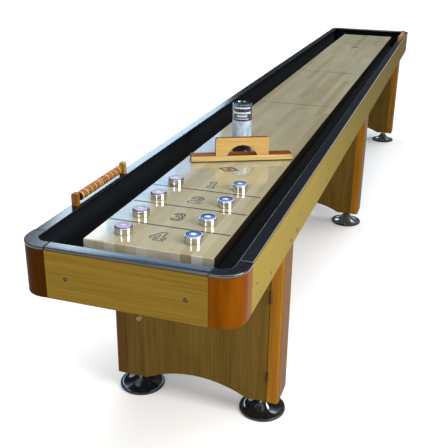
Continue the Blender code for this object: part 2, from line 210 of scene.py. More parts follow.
def lathe(profile, centre, axis="Z", segments=48, bm=None, slots=None, turn=0.0):
    """A turned solid from (radius, height) points, added to bm.

    slots gives the material of each stretch of the profile.
    """
    bm = bm or bmesh.new()
    centre = Vector(centre)
    if axis == "Z":
        basis = Matrix.Identity(3)
    elif axis == "Y":
        basis = Matrix(((1, 0, 0), (0, 0, 1), (0, -1, 0))).transposed()
    elif axis == "-Y":
        basis = Matrix(((1, 0, 0), (0, 0, -1), (0, 1, 0))).transposed()
        basis = Matrix.Rotation(math.radians(90), 3, "X")
    else:
        basis = Matrix.Rotation(math.radians(90), 3, "Y")
    rings = []
    for r, z in profile:
        if r < 1e-7:
            rings.append([bm.verts.new(centre + basis @ Vector((0, 0, z)))])
            continue
        ring = []
        for i in range(segments):
            a = turn + 2 * math.pi * i / segments
            ring.append(
                bm.verts.new(centre + basis @ Vector((r * math.cos(a), r * math.sin(a), z)))
            )
        rings.append(ring)
    closed = profile[0] == profile[-1] and profile[0][0] > 1e-7
    if closed:
        for v in rings[-1]:
            bm.verts.remove(v)
        rings[-1] = rings[0]
    for k, (a, b) in enumerate(zip(rings, rings[1:])):
        slot = slots[k] if slots else 0
        for i in range(segments):
            j = (i + 1) % segments
            if len(a) == 1 and len(b) == 1:
                break
            if len(a) == 1:
                face = bm.faces.new((a[0], b[i], b[j]))
            elif len(b) == 1:
                face = bm.faces.new((a[i], b[0], a[j]))
            else:
                face = bm.faces.new((a[i], b[i], b[j], a[j]))
            face.material_index = slot
    return bm


def arc(cx, cy, radius, start, end, steps):
    return [
        (
            cx + radius * math.cos(math.radians(start + (end - start) * i / steps)),
            cy + radius * math.sin(math.radians(start + (end - start) * i / steps)),
        )
        for i in range(steps + 1)
    ]


def srgb(r, g, b):
    """A linear colour from its 0 to 255 display values."""
    return tuple(
        (c / 255 / 12.92) if c / 255 <= 0.04045 else ((c / 255 + 0.055) / 1.055) ** 2.4
        for c in (r, g, b)
    )


# ---------------------------------------------------------------- material helpers
class Shader:
    """A Principled material whose inputs are fed by procedural nodes."""

    def __init__(self, name, roughness=0.5, metallic=0.0):
        self.material = bpy.data.materials.new(name)
        self.material.use_nodes = True
        self.tree = self.material.node_tree
        self.bsdf = self.tree.nodes["Principled BSDF"]
        self.bsdf.inputs["Roughness"].default_value = roughness
        self.bsdf.inputs["Metallic"].default_value = metallic

    def feed(self, socket, value):
        if isinstance(value, bpy.types.NodeSocket):
            self.tree.links.new(value, socket)
        elif isinstance(value, tuple) and len(value) == 3 and socket.type == "RGBA":
            socket.default_value = (*value, 1.0)
        else:
            socket.default_value = value

    def put(self, name, value):
        self.feed(self.bsdf.inputs[name], value)
        return self

    def node(self, kind, settings=None, **inputs):
        made = self.tree.nodes.new(kind)
        for key, value in (settings or {}).items():
            setattr(made, key, value)
        for key, value in inputs.items():
            self.feed(made.inputs[key], value)
        return made

    def math(self, operation, a, b=0.0, c=0.0, clamp=False):
        made = self.tree.nodes.new("ShaderNodeMath")
        made.operation = operation
        made.use_clamp = clamp
        for socket, value in zip(made.inputs, (a, b, c)):
            self.feed(socket, value)
        return made.outputs[0]

    def scaled(self, vector, scale, shift=(0.0, 0.0, 0.0)):
        made = self.tree.nodes.new("ShaderNodeVectorMath")
        made.operation = "MULTIPLY_ADD"
        self.feed(made.inputs[0], vector)
        made.inputs[1].default_value = scale
        made.inputs[2].default_value = shift
        return made.outputs[0]

    def noise(self, vector, scale=1.0, detail=2.0, roughness=0.5, distortion=0.0):
        made = self.node(
            "ShaderNodeTexNoise",
            Vector=vector,
            Scale=scale,
            Detail=detail,
            Roughness=roughness,
            Distortion=distortion,
        )
        return made.outputs["Fac"]

    def span(self, value, a, b, c=0.0, d=1.0):
        """value's range a to b, remapped to c to d and clamped."""
        made = self.tree.nodes.new("ShaderNodeMapRange")
        for key, item in zip(
            ("Value", "From Min", "From Max", "To Min", "To Max"), (value, a, b, c, d)
        ):
            self.feed(made.inputs[key], item)
        return made.outputs[0]

    def ramp(self, value, stops):
        made = self.tree.nodes.new("ShaderNodeValToRGB")
        self.feed(made.inputs[0], value)
        elements = made.color_ramp.elements
        while len(elements) < len(stops):
            elements.new(0.5)
        for element, (place, colour) in zip(elements, stops):
            element.position = place
            element.color = (*colour, 1.0)
        return made.outputs[0]

    def mix(self, factor, a, b, blend="MIX"):
        made = self.tree.nodes.new("ShaderNodeMix")
        made.data_type = "RGBA"
        made.blend_type = blend
        self.feed(made.inputs[0], factor)
        self.feed(made.inputs[6], a)
        self.feed(made.inputs[7], b)
        return made.outputs[2]

    def bump(self, height, strength=0.2, distance=0.001):
        made = self.node(
            "ShaderNodeBump", Height=height, Strength=strength, Distance=distance
        )
        self.put("Normal", made.outputs[0])
        return self

    def grain(self):
        made = self.tree.nodes.new("ShaderNodeAttribute")
        made.attribute_name = "grain"
        return made.outputs["Vector"]

    def place(self):
        return self.tree.nodes.new("ShaderNodeTexCoord").outputs["Object"]

    def parts(self, vector):
        return self.node("ShaderNodeSeparateXYZ", Vector=vector).outputs


def wood(name, dark, mid, light, broad=(1.4, 42.0, 0.5), fine=(4.5, 150.0, 0.7),
         fibre=(9.0, 420.0, 0.3), rings=(20.0, 0.0), pores=0.3, rough=(0.4, 0.55),
         gloss=0.2, coat=0.0, bump=0.1, side=None, side_gloss=None, painted_falloff=None,
         whole_object=None):
    """Sawn wood: broad and fine streaks along the grain, fibres, growth rings and short pores.

    broad, fine and fibre each hold a scale along the grain, one across it, and a strength.
    side is a colour painted on the faces that look along the row's X axis, a painted light where it is paler and a
    painted shade where it is darker, and side_gloss their gloss.
    painted_falloff holds two places along the row's Y axis and the shade reached at the second: a painted shade,
    darker along the table, standing in for light that falls off.
    """
    s = Shader(name)
    if whole_object is None:
        g = s.grain()
    else:
        order = {"X": (0, 0, 0), "Y": (0, 0, math.radians(90)), "Z": (0, math.radians(90), 0)}
        turn = s.node("ShaderNodeMapping", Vector=s.place())
        turn.inputs["Rotation"].default_value = order[whole_object]
        g = turn.outputs[0]
    tone = 0.5
    layers = []
    for k, (lengthways, across, strength) in enumerate((broad, fine, fibre)):
        shift = (1.7 * k, 2.9 * k, 4.3 * k)
        value = s.noise(
            s.scaled(g, (lengthways, across, across), shift), 1.0, 3.0, 0.55, 0.15
        )
        layers.append(value)
        part = s.math("MULTIPLY", s.math("SUBTRACT", value, 0.5), strength * 2.6)
        tone = s.math("ADD", tone, part)
    if rings[1]:
        warp = s.noise(s.scaled(g, (1.3, 4.0, 4.0), (4.0, 2.0, 7.0)), 1.0, 2.0, 0.5)
        across = s.parts(s.scaled(g, (0.0, rings[0], rings[0])))
        path = s.math("ADD", across[1], s.math("MULTIPLY", across[2], 0.35))
        path = s.math("ADD", path, s.math("MULTIPLY", warp, 6.0))
        band = s.math("PINGPONG", path, 0.5)
        band = s.math("POWER", s.math("MULTIPLY", band, 2.0), 3.0)
        tone = s.math("SUBTRACT", tone, s.math("MULTIPLY", band, rings[1]))
    tone = s.math("MULTIPLY", tone, 1.0, clamp=True)
    colour = s.ramp(tone, [(0.0, dark), (0.5, mid), (1.0, light)])
    dash = s.noise(s.scaled(g, (40.0, 760.0, 760.0), (9.0, 2.0, 4.0)), 1.0, 2.0, 0.5)
    pore = s.span(dash, 0.6, 0.72)
    colour = s.mix(s.math("MULTIPLY", pore, pores), colour, tuple(c * 0.4 for c in dark))
    if side or side_gloss is not None:
        geometry = s.tree.nodes.new("ShaderNodeNewGeometry")
        sideways = s.math("ABSOLUTE", s.parts(geometry.outputs["Normal"])[0])
    # Painted light and shade: the faces that look along X are mixed toward the side colour.
    if side:
        stained = s.mix(0.8, colour, side)
        colour = s.mix(s.span(sideways, 0.8, 1.0), colour, stained)
    if side_gloss is not None:
        gloss = s.span(sideways, 0.6, 0.97, gloss, side_gloss)
    # Painted shade: the colour darkens along the row's Y axis, standing in for light that falls off along the table.
    if painted_falloff:
        shade = s.span(s.parts(s.place())[1], painted_falloff[0], painted_falloff[1], 1.0, painted_falloff[2])
        grey = s.node("ShaderNodeCombineColor", Red=shade, Green=shade, Blue=shade).outputs[0]
        colour = s.mix(1.0, colour, grey, "MULTIPLY")
    s.put("Base Color", colour)
    s.put("Roughness", s.span(layers[2], 0.2, 0.8, rough[1], rough[0]))
    s.put("Specular IOR Level", gloss)
    height = s.math("SUBTRACT", s.math("MULTIPLY", layers[2], 0.5), pore)
    s.bump(height, bump, 0.0004)
    if coat:
        s.put("Coat Weight", coat)
        s.put("Coat Roughness", 0.15)
    return s.material


# ---------------------------------------------------------------- materials
# Painted light and shade on the aprons' laminate: the faces that look along X, the side aprons', are painted paler,
# and the colour is painted darker toward the far end, where less light falls.
OAK = wood("oak_laminate", srgb(95, 71, 15), srgb(118, 92, 26), srgb(136, 109, 37),
           broad=(1.2, 30.0, 0.26), fine=(3.2, 170.0, 0.42), fibre=(8.0, 460.0, 0.3),
           pores=0.16, rough=(0.5, 0.62), gloss=0.06, side=srgb(128, 113, 57),
           side_gloss=0.006, painted_falloff=(-1.5, 1.8, 0.74))
# The pedestals' olive-brown oak veneer, painted darker than the aprons: a painted shade for the shade under the table.
PANEL = wood("oak_panel", srgb(70, 52, 14), srgb(93, 71, 21), srgb(108, 84, 32),
             broad=(1.2, 26.0, 0.26), fine=(2.6, 190.0, 0.5), fibre=(8.0, 480.0, 0.3),
             rings=(12.0, 0.16), pores=0.24, rough=(0.5, 0.62), gloss=0.08)


def corner_wood(name, depth):
    # depth scales the tones: 1.0 gives the stained wood itself, a lower value a darker copy painted as shade.
    tones = [(86, 41, 0), (104, 54, 0), (123, 69, 3)]
    return wood(name, *[srgb(*[c * depth for c in tone]) for tone in tones],
                broad=(5.0, 16.0, 0.5), fine=(6.0, 60.0, 0.22), fibre=(10.0, 420.0, 0.08),
                pores=0.04, rough=(0.26, 0.34), gloss=0.015 if depth == 1.0 else 0.01, bump=0.02)


def leg_wood(name, depth):
    # depth scales the tones: 1.0 gives the stained wood itself, a lower value a darker copy painted as shade. The side
    # colour paints the posts' faces that look along X darker, a painted shade.
    tones = [(104, 62, 0), (134, 86, 2), (158, 108, 10)]
    return wood(name, *[srgb(*[c * depth for c in tone]) for tone in tones],
                broad=(2.5, 40.0, 0.4), fine=(5.0, 130.0, 0.35), fibre=(9.0, 420.0, 0.12),
                pores=0.06, rough=(0.24, 0.32), gloss=0.1, bump=0.03,
                side=srgb(88, 62, 40), side_gloss=0.004)


CORNER = corner_wood("stained_corner_wood", 1.0)
# A darker copy of the corner wood: a painted shade, for the near left and far right posts.
CORNER_SHADED = corner_wood("corner_wood_painted_shade", 0.6)
LEG = leg_wood("stained_leg_wood", 1.0)
# A darker copy of the leg wood: a painted shade, for the near pedestal's left post.
LEG_SHADED = leg_wood("leg_wood_painted_shade", 0.58)
BOARD = wood("plain_board", srgb(92, 72, 50), srgb(128, 104, 76), srgb(150, 128, 98),
             pores=0.2, rough=(0.6, 0.75), whole_object="Y")
SHELF = wood("plain_shelf", srgb(92, 72, 50), srgb(128, 104, 76), srgb(150, 128, 98),
             pores=0.2, rough=(0.6, 0.75), whole_object="X")
BLOCK = wood("scorer_block_wood", srgb(104, 66, 22), srgb(136, 92, 38), srgb(160, 114, 54),
             broad=(10.0, 60.0, 0.5), fine=(20.0, 240.0, 0.4), pores=0.1,
             rough=(0.28, 0.4), gloss=0.1)
BLOCK_PALE = wood("scorer_block_pale_wood", srgb(132, 100, 48), srgb(166, 130, 70),
                  srgb(190, 156, 92), broad=(10.0, 60.0, 0.5), fine=(20.0, 240.0, 0.4),
                  pores=0.1, rough=(0.28, 0.4), gloss=0.1)
BEAD_LIGHT = wood("bead_light_wood", srgb(146, 98, 48), srgb(182, 132, 72), srgb(208, 162, 104),
                  broad=(20.0, 90.0, 0.5), fine=(40.0, 300.0, 0.4), pores=0.1,
                  rough=(0.25, 0.36), gloss=0.3)
BEAD_DARK = wood("bead_dark_wood", srgb(112, 64, 26), srgb(146, 92, 42), srgb(172, 118, 62),
                 broad=(20.0, 90.0, 0.5), fine=(40.0, 300.0, 0.4), pores=0.1,
                 rough=(0.25, 0.36), gloss=0.3)
# Painted shade: a dark brown for the creases between the beads.
BEAD_CREASE_SHADE = wood("bead_crease_painted_shade", srgb(38, 18, 6), srgb(56, 30, 12), srgb(74, 42, 20),
                 broad=(20.0, 90.0, 0.5), fine=(40.0, 300.0, 0.4), pores=0.1,
                 rough=(0.4, 0.5), gloss=0.1)
BRUSH_FACE = wood("brush_honey_wood", srgb(180, 146, 84), srgb(205, 177, 116), srgb(221, 199, 143),
                  broad=(3.0, 60.0, 0.6), fine=(8.0, 220.0, 0.4), pores=0.06,
                  rough=(0.26, 0.36), bump=0.04)
BRUSH_HANDLE = wood("brush_handle_wood", srgb(184, 144, 78), srgb(203, 165, 99),
                    srgb(215, 182, 121), broad=(4.0, 30.0, 0.5), fine=(9.0, 160.0, 0.3),
                    pores=0.06, rough=(0.26, 0.36), bump=0.04)
BRUSH_DARK = wood("brush_dark_wood", srgb(78, 36, 4), srgb(110, 58, 12), srgb(134, 76, 20),
                  broad=(3.0, 60.0, 0.6), fine=(8.0, 220.0, 0.4), pores=0.1,
                  rough=(0.34, 0.46), gloss=0.03, bump=0.04)
KNOB = wood("knob_wood", srgb(94, 60, 24), srgb(122, 86, 42), srgb(148, 112, 62),
            broad=(20.0, 90.0, 0.5), fine=(40.0, 300.0, 0.4), pores=0.1,
            rough=(0.22, 0.32), gloss=0.5, bump=0.04)


def maple():
    """Butcher block: glued strips of random tone and length under a thick clear polymer.

    The ends show every strip's own tone, painted much paler than the top as painted light. The long sides are dark.
    """
    s = Shader("maple_playfield", roughness=0.4)
    p = s.place()
    x, y, z = s.parts(p)
    geometry = s.tree.nodes.new("ShaderNodeNewGeometry")
    nx, ny, nz = s.parts(geometry.outputs["True Normal"])
    on_end = s.math("GREATER_THAN", s.math("ABSOLUTE", ny), 0.6)
    on_side = s.span(s.math("ABSOLUTE", nx), 0.55, 0.95)
    strip = s.math("DIVIDE", s.math("ADD", x, FIELD_X), 0.03285)
    index = s.math("FLOOR", strip)
    first = s.node("ShaderNodeTexWhiteNoise", {"noise_dimensions": "1D"}, W=index).outputs[0]
    length = s.math("MULTIPLY_ADD", y, 1.15, s.math("MULTIPLY", first, 9.7))
    piece = s.math("FLOOR", length)
    where = s.node("ShaderNodeCombineXYZ", X=index, Y=piece, Z=0.0).outputs[0]
    block = s.node("ShaderNodeTexWhiteNoise", {"noise_dimensions": "2D"}, Vector=where)
    tone, other = block.outputs["Value"], block.outputs["Color"]
    top = s.ramp(
        tone,
        [
            (0.0, srgb(156, 143, 108)),
            (0.3, srgb(160, 151, 120)),
            (0.65, srgb(165, 158, 130)),
            (1.0, srgb(171, 163, 136)),
        ],
    )
    # Painted light: the ends' tones, each strip's own, are painted much paler than the top's.
    end = s.ramp(
        tone,
        [
            (0.0, srgb(192, 172, 134)),
            (0.3, srgb(224, 214, 184)),
            (0.6, srgb(242, 238, 218)),
            (1.0, srgb(252, 250, 240)),
        ],
    )
    colour = s.mix(on_end, top, end)
    shift = s.node("ShaderNodeVectorMath", {"operation": "MULTIPLY_ADD"})
    s.feed(shift.inputs[0], other)
    shift.inputs[1].default_value = (31.0, 17.0, 23.0)
    s.feed(shift.inputs[2], s.scaled(p, (34.0, 2.4, 34.0)))
    figure = s.noise(shift.outputs[0], 1.0, 4.0, 0.6, 0.3)
    cloud = s.noise(s.scaled(p, (7.0, 3.4, 7.0), (2.0, 5.0, 1.0)), 1.0, 3.0, 0.6, 0.4)
    fine = s.noise(s.scaled(p, (420.0, 9.0, 420.0)), 1.0, 3.0, 0.6)
    shade = s.math("MULTIPLY_ADD", s.span(figure, 0.25, 0.75), 0.18, 0.86)
    shade = s.math("MULTIPLY", shade, s.math("MULTIPLY_ADD", s.span(cloud, 0.3, 0.7), 0.14, 0.91))
    shade = s.math("MULTIPLY", shade, s.math("MULTIPLY_ADD", fine, 0.12, 0.94))
    # Painted light: the boards are painted paler along the table, toward its far end.
    shade = s.math("MULTIPLY", shade, s.span(y, -1.0, 1.6, 0.94, 1.46))
    side = s.math("PINGPONG", strip, 0.5)
    glue = s.span(side, 0.0, 0.02, 0.88, 1.0)
    joint = s.span(s.math("PINGPONG", length, 0.5), 0.0, 0.0009, 0.84, 1.0)
    shade = s.math("MULTIPLY", shade, s.math("MULTIPLY", glue, joint))
    grey = s.node("ShaderNodeCombineColor", Red=shade, Green=shade, Blue=shade).outputs[0]
    colour = s.mix(1.0, colour, grey, "MULTIPLY")
    s.put("Base Color", s.mix(on_side, colour, srgb(46, 38, 26)))
    s.put("Roughness", s.span(figure, 0.2, 0.8, 0.36, 0.5))
    s.put("Specular IOR Level", 0.1)
    s.put("Coat Weight", s.math("SUBTRACT", 1.0, s.math("MULTIPLY", on_side, 0.8)))
    s.put("Coat IOR", 1.5)
    ripple = s.noise(s.scaled(p, (2.2, 1.1, 1.0)), 1.0, 2.0, 0.4)
    s.put("Coat Roughness", s.span(ripple, 0.3, 0.7, 0.05, 0.085))
    return s.material


def rail_black(name="black_rail", brushed=None):
    """Black laminate with a faint tooth. brushed adds fine pale lines along the X axis, on the inner half of its top:
    brushing marks whose pale colour is a painted reflection.
    """
    s = Shader(name)
    p = s.place()
    cloud = s.noise(s.scaled(p, (9.0, 3.0, 9.0)), 1.0, 4.0, 0.6)
    tooth = s.noise(s.scaled(p, (900.0, 700.0, 700.0)), 1.0, 2.0, 0.5)
    colour = s.ramp(cloud, [(0.25, srgb(3, 6, 11)), (0.8, srgb(8, 14, 22))])
    if brushed:
        lines = s.noise(s.scaled(p, (5.0, 260.0, 260.0)), 1.0, 3.0, 0.6)
        geometry = s.tree.nodes.new("ShaderNodeNewGeometry")
        up = s.span(s.parts(geometry.outputs["Normal"])[2], 0.7, 0.9)
        inner = s.span(s.math("ABSOLUTE", s.parts(p)[1]), END_OUT - 0.008, END_OUT - 0.020)
        weight = s.math("MULTIPLY", s.span(lines, 0.34, 0.62, 0.2, 0.95), s.math("MULTIPLY", up, inner))
        # Painted reflection: pale blue lines on the inner half of the top.
        colour = s.mix(weight, colour, srgb(94, 118, 142))
    s.put("Base Color", colour)
    s.put("Roughness", s.math("ADD", s.span(cloud, 0.2, 0.8, 0.17, 0.21),
                              s.math("MULTIPLY", tooth, 0.04)))
    s.put("Specular IOR Level", 1.0)
    s.bump(tooth, 0.02, 0.0002)
    return s.material


def carpet_black():
    """Short black gutter carpet."""
    s = Shader("gutter_carpet", roughness=0.92)
    p = s.place()
    pile = s.noise(s.scaled(p, (520.0, 520.0, 520.0)), 1.0, 3.0, 0.7)
    patch = s.noise(s.scaled(p, (14.0, 5.0, 14.0)), 1.0, 3.0, 0.6)
    colour = s.ramp(pile, [(0.3, srgb(6, 11, 16)), (0.8, srgb(17, 27, 37))])
    s.put("Base Color", s.mix(s.span(patch, 0.3, 0.7, 0.0, 0.35), colour, srgb(6, 9, 13)))
    s.put("Sheen Weight", 0.04)
    s.put("Specular IOR Level", 0.15)
    s.bump(pile, 0.6, 0.0015)
    return s.material


def metal(name, dark, light, rough=(0.1, 0.2), scale=(30.0, 30.0, 200.0), bump=0.02,
          metallic=1.0):
    """Polished or brushed metal with fine turning marks and slight staining."""
    s = Shader(name, metallic=metallic)
    p = s.place()
    marks = s.noise(s.scaled(p, scale), 1.0, 4.0, 0.6)
    cloud = s.noise(s.scaled(p, (60.0, 60.0, 60.0)), 1.0, 3.0, 0.6)
    s.put("Base Color", s.ramp(cloud, [(0.25, dark), (0.75, light)]))
    s.put("Roughness", s.span(marks, 0.25, 0.75, rough[0], rough[1]))
    s.bump(marks, bump, 0.0003)
    return s.material


def plastic(name, colour, rough=(0.12, 0.22), vary=0.12, scale=180.0, coat=0.0):
    """Moulded plastic with faint flow marks and handling haze."""
    s = Shader(name)
    p = s.place()
    cloud = s.noise(s.scaled(p, (scale, scale, scale)), 1.0, 3.0, 0.55)
    low = tuple(c * (1 - vary) for c in colour)
    high = tuple(min(1.0, c * (1 + vary)) for c in colour)
    s.put("Base Color", s.ramp(cloud, [(0.25, low), (0.75, high)]))
    s.put("Roughness", s.span(cloud, 0.2, 0.8, rough[0], rough[1]))
    s.bump(cloud, 0.03, 0.0002)
    if coat:
        s.put("Coat Weight", coat)
    return s.material


MAPLE = maple()
RAIL = rail_black()
RAIL_END_SHEEN = rail_black("black_rail_painted_sheen", "X")
CARPET = carpet_black()
INLAY = plastic("black_inlay", srgb(8, 7, 5), rough=(0.45, 0.55), coat=0.08)
DIAMOND = plastic("brown_inlay", srgb(58, 42, 38), rough=(0.4, 0.5), coat=0.5)
SCREW = metal("black_screw", srgb(6, 5, 4), srgb(14, 12, 10), rough=(0.6, 0.75), metallic=0.0)
HINGE = metal("bronzed_hinge", srgb(40, 28, 18), srgb(72, 54, 36), rough=(0.3, 0.45))
ROD = metal("rod_steel", srgb(150, 150, 150), srgb(188, 188, 188), rough=(0.2, 0.32))
FOOT = metal("dark_chrome", srgb(58, 66, 72), srgb(86, 94, 100), rough=(0.08, 0.14),
             metallic=0.9)
# Painted light: the middle and far feet, the same as the near ones, get a paler chrome standing in for brighter
# reflections.
FOOT_PAINTED_LIGHT = metal("chrome_foot_painted_light", srgb(160, 188, 204), srgb(200, 222, 234), rough=(0.1, 0.18),
                    metallic=0.9)
FOOT_RIM = plastic("foot_rim_black", srgb(20, 22, 26), rough=(0.2, 0.3))
STEM = metal("stem_steel", srgb(170, 174, 178), srgb(206, 208, 210), rough=(0.14, 0.26))
CHROME = metal("puck_chrome", srgb(196, 198, 200), srgb(226, 228, 230), rough=(0.05, 0.1))
BLUE = plastic("puck_blue_cap", srgb(24, 50, 110))
BLUE_RING = plastic("puck_blue_ring", srgb(150, 172, 208))
BLUE_EYE = plastic("puck_blue_eye", srgb(196, 218, 238))
PALE = plastic("puck_pale_cap", srgb(150, 142, 168))
PALE_RIM = plastic("puck_pale_rim", srgb(104, 82, 106))
PALE_EYE = plastic("puck_pale_eye", srgb(178, 170, 194))
FELT = carpet_black()
FELT.name = "brush_felt"
TIN = metal("can_tin", srgb(84, 98, 110), srgb(124, 138, 150), rough=(0.16, 0.26))


def can_label(azimuth, centre, base):
    """A dark band with plain pale bars, a thin red rule, a silver-blue band and a dark foot."""
    s = Shader("can_label", roughness=0.3)
    p = s.place()
    x, y, z = s.parts(p)
    h = s.math("SUBTRACT", z, base)
    dx = s.math("SUBTRACT", x, centre[0])
    dy = s.math("SUBTRACT", y, centre[1])
    angle = s.math("ARCTAN2", dy, dx)
    turn = s.math("ABSOLUTE", s.math("WRAP", s.math("SUBTRACT", angle, azimuth),
                                     math.pi / 2, -math.pi / 2))
    cloud = s.noise(s.scaled(p, (70.0, 70.0, 45.0)), 1.0, 4.0, 0.6, 0.6)
    upper = s.ramp(cloud, [(0.25, srgb(12, 16, 32)), (0.75, srgb(26, 34, 56))])
    lower = s.ramp(cloud, [(0.2, srgb(120, 144, 168)), (0.5, srgb(172, 196, 216)),
                           (0.8, srgb(214, 228, 240))])
    bars = 0.0
    for low, high, half in ((0.1755, 0.1820, 0.93), (0.1555, 0.1630, 1.1), (0.1435, 0.1510, 0.56),
                            (0.1345, 0.1380, 0.72)):
        inside = s.math("MULTIPLY", s.math("GREATER_THAN", h, low),
                        s.math("LESS_THAN", h, high))
        inside = s.math("MULTIPLY", inside, s.math("LESS_THAN", turn, half))
        bars = s.math("ADD", bars, inside, clamp=True)
    upper = s.mix(s.math("MULTIPLY", bars, 0.9), upper, srgb(206, 218, 230))
    colour = s.mix(s.math("GREATER_THAN", h, 0.1290), lower, upper)
    rule = s.math("MULTIPLY", s.math("GREATER_THAN", h, 0.1268),
                  s.math("LESS_THAN", h, 0.1292))
    colour = s.mix(rule, colour, srgb(128, 62, 76))
    colour = s.mix(s.math("LESS_THAN", h, 0.0600), colour, upper)
    s.put("Base Color", colour)
    s.put("Roughness", s.span(cloud, 0.2, 0.8, 0.22, 0.36))
    s.put("Coat Weight", 0.5)
    s.put("Coat Roughness", 0.08)
    return s.material


def dress(node, *materials):
    """A CAD node's own surface, with finished materials in place of its plain one."""
    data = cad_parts[node].data
    data.materials.clear()
    for material in materials:
        data.materials.append(material)


# ---------------------------------------------------------------- cabinet
dress("playfield_cradle", BOARD)
for name in ("near", "middle", "far"):
    dress(f"{name}_pedestal_floor", SHELF)
for name in ("near", "far"):
    dress(f"{name}_scorer_rod", ROD)

seed = 1.0
for node in ("side_apron_left", "side_apron_right", "end_apron_near", "end_apron_far"):
    low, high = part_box(node)
    seed += 1.37
    make(
        node + "_board",
        rounded_box(low, high, 0.0016, 3),
        [OAK],
        "table",
        node,
        grain=along("Y" if "side" in node else "X", seed),
    )
for node in ("side_rail_left", "side_rail_right", "end_rail_near", "end_rail_far"):
    low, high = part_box(node)
    make(
        node + "_strip",
        rounded_box(low, high, 0.0030, 4),
        [RAIL_END_SHEEN if "end" in node else RAIL],
        "table",
        node,
    )


def corner_plan(outer_x, outer_y, radius, thickness, start_x, end_y, steps):
    """Plan of a rounded corner of even thickness, at the far right of the table."""
    cx, cy = outer_x - radius, outer_y - radius
    points = [(start_x, outer_y)]
    points += arc(cx, cy, radius, 90, 0, steps)
    points += [(outer_x, end_y), (outer_x - thickness, end_y)]
    points += arc(cx, cy, radius - thickness, 0, 90, steps)
    points += [(start_x, outer_y - thickness)]
    return points


post_low, post_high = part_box("corner_post_far_right")
cap_low, cap_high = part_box("corner_cap_far_right")
post_plan = corner_plan(
    post_high.x, post_high.y, POST_R, POST_T, post_low.x, post_low.y, 20
)
cap_t = cap_high.x - RAIL_IN
cap_plan = corner_plan(
    cap_high.x, cap_high.y, CAP_R, cap_t, cap_low.x, cap_low.y, 20
)
for where, sx, sy in (
    ("near_left", -1, -1),
    ("near_right", 1, -1),
    ("far_left", -1, 1),
    ("far_right", 1, 1),
):
    seed += 1.37
    make(
        f"corner_post_{where}_wood",
        prism([(sx * x, sy * y) for x, y in post_plan], post_low.z, post_high.z, 0.0016, 3),
        [CORNER_SHADED if where in ("near_left", "far_right") else CORNER],
        "table",
        f"corner_post_{where}",
        grain=along("Z", seed),
    )
    make(
        f"corner_cap_{where}_moulding",
        prism([(sx * x, sy * y) for x, y in cap_plan], cap_low.z, cap_high.z, 0.0028, 4),
        [RAIL],
        "table",
        f"corner_cap_{where}",
    )

# The playfield, its lines, numerals and diamonds let in flush with the top.
make(
    "playfield_block",
    rounded_box(field_low, field_high, 0.0025, 4),
    [MAPLE],
    "table",
    "playfield",
)

INLAY_Z = FIELD_TOP - 0.0010
INLAY_TOP = FIELD_TOP + 0.00012
bm = bmesh.new()
for y in (-2.1265, -1.9585, -1.7945, -0.4235, 0.5065, 1.7945, 1.9585, 2.1265):
    half = 0.0034 if abs(y) > 1 else 0.0031
    prism([(-0.1925, y - half), (0.1925, y - half), (0.1925, y + half), (-0.1925, y + half)],
          INLAY_Z, INLAY_TOP, bm=bm)
make("score_lines", bm, [INLAY], "table")


def bowl(cx, cy, radius, start, end, steps=18):
    return arc(cx, cy, radius, start, end, steps)


# Open block numerals, each a closed outline in millimetres from its lower left corner.
NUMERALS = {
    "1": (36, [[(6, 0), (32, 0), (32, 8), (26, 8), (26, 60), (15, 60), (4, 52), (4, 44),
                (13, 48), (13, 8), (6, 8)]]),
    "2": (44, [[(1, 0), (43, 0), (43, 12), (22, 12)] + bowl(22, 41, 19, -40, 180)
               + [(3, 36), (13, 36)] + bowl(22, 41, 9, 180, -42) + [(1, 10)]]),
    "3": (40, [[(2, 14)] + bowl(20, 18, 18, 190, 412) + bowl(20, 44, 16, -40, 180)
               + bowl(20, 44, 7, 180, -90) + [(13, 37), (13, 28), (20, 28)]
               + bowl(20, 18, 9, 88, -172)]),
    "4": (50, [[(18, 0), (46, 0), (46, 8), (39, 8), (39, 15), (49, 15), (49, 24), (39, 24),
                (39, 60), (25, 60), (1, 24), (1, 15), (26, 15), (26, 8), (18, 8)],
               [(26, 24), (26, 45), (12, 24)]]),
}


def numeral(text, centre, turned):
    """An outlined numeral let into the playfield's top, as a flattened bead along its edge."""
    width, outlines = NUMERALS[text]
    curve = bpy.data.curves.new("numeral", "CURVE")
    curve.dimensions = "3D"
    curve.bevel_depth = 0.0027
    curve.bevel_resolution = 1
    for points in outlines:
        spline = curve.splines.new("POLY")
        spline.points.add(len(points) - 1)
        for point, (x, y) in zip(spline.points, points):
            point.co = ((x - width / 2) / 1000, (y - 30) / 1000, 0, 1)
        spline.use_cyclic_u = True
    obj = bpy.data.objects.new("numeral", curve)
    scene.collection.objects.link(obj)
    bpy.context.view_layer.update()
    mesh = bpy.data.meshes.new_from_object(
        obj.evaluated_get(bpy.context.evaluated_depsgraph_get())
    )
    bpy.data.objects.remove(obj)
    flat = Matrix.Diagonal((1.0, 1.0, 0.025, 1.0))
    turn = Matrix.Rotation(math.pi if turned else 0.0, 4, "Z")
    mesh.transform(Matrix.Translation((*centre, FIELD_TOP + 0.00002)) @ turn @ flat)
    return mesh


bm = bmesh.new()
for text, x, y in (
    ("4", 0.0, -2.2005),
    ("3", -0.003, -2.0440),
    ("2", -0.001, -1.8860),
    ("1", 0.0, -1.7300),
):
    for sign in (1, -1):
        bm.from_mesh(numeral(text, (sign * x, sign * y), sign < 0))
bmesh.ops.remove_doubles(bm, verts=bm.verts, dist=1e-6)
make("score_numerals", bm, [INLAY], "table")

